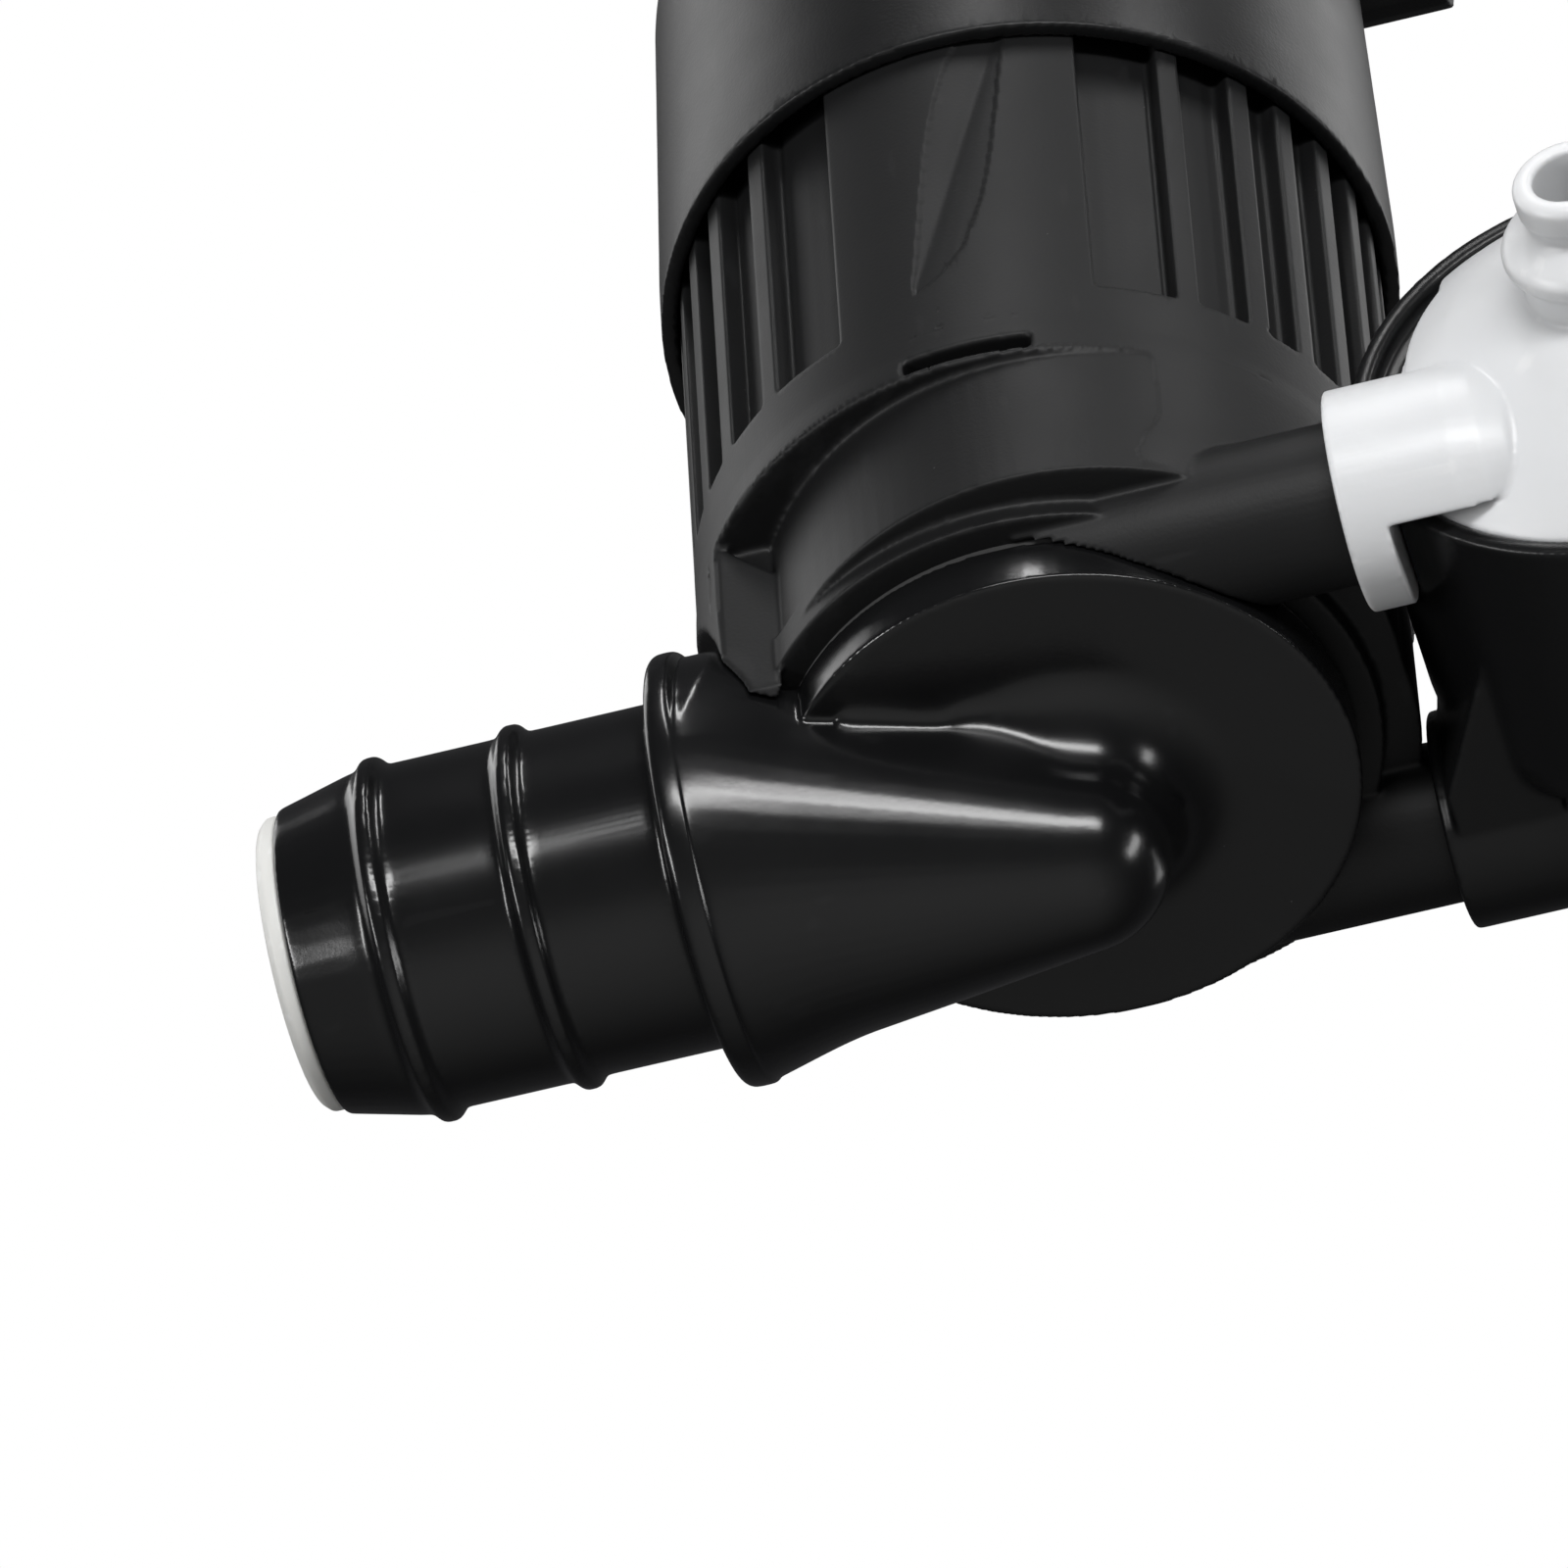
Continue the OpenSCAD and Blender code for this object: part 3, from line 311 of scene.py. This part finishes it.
creamPlastic = mouldedPlastic("creamPlastic", {**naturalWhite, "dark": (0.58, 0.53, 0.40),
                                               "light": (0.68, 0.63, 0.50), "rough": 0.5, "glow": 0.0})
palePlastic = mouldedPlastic("palePlastic", {**naturalWhite, "dark": (0.66, 0.63, 0.54),
                                             "light": (0.74, 0.71, 0.62), "rough": 0.42, "glow": 0.1})

innerFinish = {
    "cover_gasket": blackRubber, "cap_seal": blackRubber, "front_outlet_seal": blackRubber,
    "rear_outlet_seal": blackRubber, "shaft_seal": blackRubber, "diaphragm_web": greyRubber,
    "diaphragm_disc": greyRubber, "motor_can": zincPlate, "magnet_left": sinteredFerrite,
    "magnet_right": sinteredFerrite, "brush_plate": creamPlastic, "brush_front": carbonBlock,
    "brush_rear": carbonBlock, "brush_arm_front": springBrass, "brush_arm_rear": springBrass,
    "terminal_front": tinPlate, "terminal_rear": tinPlate, "lower_bush": bushBronze,
    "upper_bush": bushBronze, "motor_shaft": groundSteel, "armature_core": stackedSteel,
    "windings": enamelledWire, "commutator": turnedCopper, "impeller": palePlastic,
    "lower_washer": palePlastic, "upper_washer": palePlastic,
}


def dress(obj, mat):
    obj.data.materials.clear()
    obj.data.materials.append(mat)


for part, mat in innerFinish.items():
    dress(nodes[part], mat)
print("inner parts finished")

# moulded shells: the parts that show, with the soft edges that come out of a mould

keptFaces = 0.3         # share of the faces left after thinning
normalWeight = 80       # large faces lead the shading

# cell: size of the moulding grid in mm; soften: smoothing passes over it
housingMould = {
    "piece": "housingShell", "cell": 0.135, "soften": 2, "finish": housingPlastic, "slot": "housing_black",
    "turned": [{"along": "z", "from": 0, "to": 40 * mm, "step": 1 * mm, "over": 16.8 * mm,
                "near": 0.08 * mm}],
}
capMould = {
    "piece": "capShell", "cell": 0.19, "soften": 2, "finish": capPlastic, "slot": "cap_black",
    "turned": [{"along": "z", "from": 34 * mm, "to": 60 * mm, "step": 1 * mm, "over": 17.2 * mm,
                "near": 0.08 * mm}],
}
inletMould = {
    "piece": "inletShell", "cell": 0.14, "soften": 7, "finish": coverPlastic, "slot": "cover_black",
    "flare": {"start": 11.3 * mm, "length": 6.2 * mm, "over": 8 * mm, "rim": 10.5 * mm,
              "above": 2 * mm, "fade": 3 * mm},
    "boss": {"spread": 2 * mm, "height": 3.6 * mm, "wall": 5 * mm, "within": 10.5 * mm,
             "start": -5.5 * mm, "full": -2.5 * mm, "skin": 0.3 * mm, "core": 1 * mm},
    "blend": {"footLow": 0.15 * mm, "footHigh": 0.5 * mm, "full": 1.2 * mm, "reach": 3.4 * mm,
              "deepest": 4.08 * mm, "within": 12.4 * mm, "skin": 0.2 * mm, "passes": 260},
    "turned": [{"along": "x", "from": -2 * mm, "to": 10.6 * mm, "step": 0.3 * mm, "over": 7.9 * mm,
                "near": 0.05 * mm},
               {"along": "z", "from": -1 * mm, "to": 3 * mm, "step": 0.3 * mm, "over": 13.2 * mm,
                "near": 0.12 * mm}],
}
bowlMould = {"piece": "bowlShell", "cell": 0.17, "soften": 8, "finish": valvePlastic, "slot": "valve_black"}
whiteCoverMould = {"piece": "whiteCoverShell", "cell": 0.14, "soften": 4, "finish": coverWhite,
                   "slot": "valve_white"}
strainerMould = {"piece": "strainerShell", "cell": 0.12, "soften": 2, "finish": strainerWhite,
                 "slot": "strainer_white"}

mouldings = {
    "lower_housing": housingMould,
    "motor_cap": capMould,
    "bottom_cover": inletMould,
    "valve_bowl": bowlMould,
    "valve_cover": whiteCoverMould,
    "inlet_strainer": strainerMould,
}


def bake(shell):
    # the modifiers' result becomes the mesh
    bpy.context.view_layer.update()
    graph = bpy.context.evaluated_depsgraph_get()
    made = bpy.data.meshes.new_from_object(shell.evaluated_get(graph), depsgraph=graph)
    shell.modifiers.clear()
    shell.data = made
    return made


def readPoints(mesh, field="co"):
    values = np.empty(len(mesh.vertices) * 3)
    if field == "co":
        mesh.vertices.foreach_get("co", values)
    else:
        mesh.vertex_normals.foreach_get("vector", values)
    return values.reshape(-1, 3)


def writePoints(mesh, at):
    mesh.vertices.foreach_set("co", at.ravel())
    mesh.update()


facesOut = 0.97         # cosine: how squarely a point faces away from the axis
outerShare = 92         # the radius that this percentage of a band's points lie inside


def trueUp(mesh, t):
    # takes the flats out of a turned surface: points near its outer radius go onto that radius
    at = readPoints(mesh)
    facing = readPoints(mesh, "normal")
    if t["along"] == "z":
        along, u, v = at[:, 2], at[:, 0] - motorX, at[:, 1]
        outward = facing[:, 0] * u + facing[:, 1] * v
    else:
        along, u, v = at[:, 0], at[:, 1], at[:, 2]
        outward = facing[:, 1] * u + facing[:, 2] * v
    r = np.hypot(u, v)
    turned = (outward > facesOut * r) & (along > t["from"]) & (along < t["to"]) & (r > t["over"])
    slot = ((along - t["from"]) / t["step"]).astype(int)
    middles, radii = [], []
    for k in np.unique(slot[turned]):
        pick = turned & (slot == k)
        middles.append(t["from"] + (k + 0.5) * t["step"])
        radii.append(np.percentile(r[pick], outerShare))
    if not middles:
        return
    ideal = np.interp(along, middles, radii)
    near = turned & (abs(r - ideal) < t["near"])
    grow = np.where(near, ideal / np.maximum(r, 1e-9), 1)
    if t["along"] == "z":
        at[:, 0] = motorX + u * grow
        at[:, 1] = v * grow
    else:
        at[:, 1] = u * grow
        at[:, 2] = v * grow
    writePoints(mesh, at)


def flareHorn(mesh, f):
    # the horn runs out to the flange in a wide curve
    at = readPoints(mesh)
    r = np.hypot(at[:, 1], at[:, 2])
    t = (at[:, 0] - f["start"]) / f["length"]
    low = np.clip((faceZ + f["above"] - at[:, 2]) / f["fade"], 0, 1)
    inside = (t > 0) & (t < 1) & (r > f["over"]) & (r < f["rim"])
    pull = np.where(inside, (1 - np.clip(t, 0, 1)) ** 2 * low, 0)
    grow = 1 + pull * (f["rim"] - r) / np.maximum(r, 1e-9)
    at[:, 1] *= grow
    at[:, 2] *= grow
    writePoints(mesh, at)


def spreadBoss(mesh, b):
    # the horn's end stands on a boss that widens towards the cover's face
    at = readPoints(mesh)
    depth = faceZ - at[:, 2]
    u, v = at[:, 0] - motorX, at[:, 1]
    r = np.hypot(u, v)
    tall = np.clip(1 - np.clip(depth, 0, None) / b["height"], 0, 1) ** 2
    wide = np.clip((b["within"] - r) / (b["within"] - b["wall"]), 0, 1)
    side = np.clip((u - b["start"]) / (b["full"] - b["start"]), 0, 1)
    side = side * side * (3 - 2 * side)
    shift = np.where(depth > -b["skin"], b["spread"] * tall * wide * side, 0)
    grow = 1 + shift / np.maximum(r, b["core"])
    at[:, 0] = motorX + u * grow
    at[:, 1] = v * grow
    writePoints(mesh, at)


def blendHorn(shell, b):
    # eases the corner where the horn rises from the cover's flat face
    mesh = shell.data
    at = readPoints(mesh)
    depth = faceZ - at[:, 2]
    foot = np.nonzero((depth > b["footLow"]) & (depth < b["footHigh"]))[0]
    tree = KDTree(len(foot))
    for i in foot:
        tree.insert(at[i], int(i))
    tree.balance()
    fromAxis = np.hypot(at[:, 0] - motorX, at[:, 1])
    group = shell.vertex_groups.new(name="horn")
    close = np.nonzero((depth > -b["skin"]) & (depth < b["deepest"]) & (fromAxis < b["within"]))[0]
    for i in close:
        gap = tree.find(at[i])[2]
        share = min(1, max(0, (b["reach"] - gap) / (b["reach"] - b["full"])))
        if share > 0:
            group.add([int(i)], share, "REPLACE")
    ease = shell.modifiers.new("blend", "SMOOTH")
    ease.vertex_group = group.name
    ease.factor = 0.5
    ease.iterations = int(b["passes"] / (1))
    bake(shell)


def mould(part, m):
    cell = m["cell"] * mm * 1
    shell = bpy.data.objects.new(m["piece"], nodes[part].data.copy())
    bpy.context.scene.collection.objects.link(shell)
    grid = shell.modifiers.new("cells", "REMESH")
    grid.mode = "VOXEL"
    grid.voxel_size = cell
    grid.use_smooth_shade = True
    ease = shell.modifiers.new("ease", "SMOOTH")
    ease.factor = 0.5
    ease.iterations = m["soften"]
    bake(shell)
    if "flare" in m:
        flareHorn(shell.data, m["flare"])
        spreadBoss(shell.data, m["boss"])
    if "blend" in m:
        blendHorn(shell, m["blend"])
    for t in m.get("turned", []):
        trueUp(shell.data, t)
    thin = shell.modifiers.new("thin", "DECIMATE")
    thin.ratio = keptFaces
    level = shell.modifiers.new("level", "WEIGHTED_NORMAL")
    level.weight = normalWeight
    made = bake(shell)
    made.name = m["piece"]
    dress(shell, m["finish"])
    body = next(b for b, members in frame["record"]["behaviour"]["bodies"].items() if part in members)
    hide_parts(part)
    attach(shell, body)
    print(m["piece"], "moulded,", len(made.polygons), "faces")


for part, m in mouldings.items():
    mould(part, m)

# studio

floorLook = {"height": -1.05, "size": 14.0, "colour": (0.80, 0.80, 0.79)}


def paleFloor(f):
    mesh = bpy.data.meshes.new("studioFloor")
    h = f["size"] / 2
    z = f["height"]
    mesh.from_pydata([(-h, -h, z), (h, -h, z), (h, h, z), (-h, h, z)], [], [(0, 1, 2, 3)])
    floor = bpy.data.objects.new("studioFloor", mesh)
    bpy.context.scene.collection.objects.link(floor)
    k = Nodes("floorPaint")
    k.join(k.mix(k.span(k.noise(3.0, 3.0), 0.0, 1.0), f["colour"], tuple(c * 0.97 for c in f["colour"])),
           k.shader.inputs["Base Color"])
    k.shader.inputs["Roughness"].default_value = 0.8
    dress(floor, k.mat)


paleFloor(floorLook)

# each lamp: turn right and up from the lens axis, seen from the pump, in degrees; width, height, watts
lamps = {
    "highSoftbox": {"right": 2, "up": 41, "away": 0.9, "wide": 0.8, "tall": 0.16, "watts": 8},
    "leftSoftbox": {"right": -60, "up": 0, "away": 0.9, "wide": 0.12, "tall": 0.42, "watts": 3},
    "rightSoftbox": {"right": 75, "up": 12, "away": 0.9, "wide": 0.14, "tall": 0.5, "watts": 2},
    "topStripLeft": {"right": -10, "up": 98, "away": 0.8, "wide": 0.05, "tall": 0.4, "watts": 1.3},
    "topStripRight": {"right": 24, "up": 98, "away": 0.8, "wide": 0.05, "tall": 0.4, "watts": 1.3},
    "backLeft": {"right": -128, "up": 12, "away": 0.9, "wide": 0.5, "tall": 0.9, "watts": 3},
    "backRight": {"right": 130, "up": 12, "away": 0.9, "wide": 0.5, "tall": 0.9, "watts": 3},
}


overhead = 89


def hangLamp(name, l):
    h, v = math.radians(l["right"]), math.radians(l["up"])
    toward = camRight * math.sin(h) * math.cos(v) + camUp * math.sin(v) + camBack * math.cos(h) * math.cos(v)
    if l["up"] > overhead:        # past straight up the turn stays to the same side
        toward = camRight * math.sin(h) + camUp * math.sin(v) * math.cos(h) + camBack * math.cos(v)
    toward.normalize()
    data = bpy.data.lights.new(name, "AREA")
    data.shape = "RECTANGLE"
    data.size = l["wide"]
    data.size_y = l["tall"]
    data.energy = l["watts"]
    lamp = bpy.data.objects.new(name, data)
    bpy.context.scene.collection.objects.link(lamp)
    lamp.location = motorFoot + toward * l["away"]
    lamp.rotation_mode = "QUATERNION"
    lamp.rotation_quaternion = toward.to_track_quat("Z", "Y")


for name, l in lamps.items():
    hangLamp(name, l)


def studioAir(shown, around):
    world = bpy.data.worlds.new("studioAir")
    bpy.context.scene.world = world
    world.use_nodes = True
    tree = world.node_tree
    tree.nodes.clear()
    seen = tree.nodes.new("ShaderNodeLightPath").outputs["Is Camera Ray"]
    lit = tree.nodes.new("ShaderNodeBackground")
    lit.inputs["Color"].default_value = (*around, 1)
    clean = tree.nodes.new("ShaderNodeBackground")
    clean.inputs["Color"].default_value = (*shown, 1)
    blend = tree.nodes.new("ShaderNodeMixShader")
    out = tree.nodes.new("ShaderNodeOutputWorld")
    tree.links.new(seen, blend.inputs["Fac"])
    tree.links.new(lit.outputs["Background"], blend.inputs[1])
    tree.links.new(clean.outputs["Background"], blend.inputs[2])
    tree.links.new(blend.outputs["Shader"], out.inputs["Surface"])


studioAir(shown=(1.0, 1.0, 1.0), around=(0.05, 0.05, 0.052))
bpy.context.scene.view_settings.view_transform = "Standard"
print("studio lit")
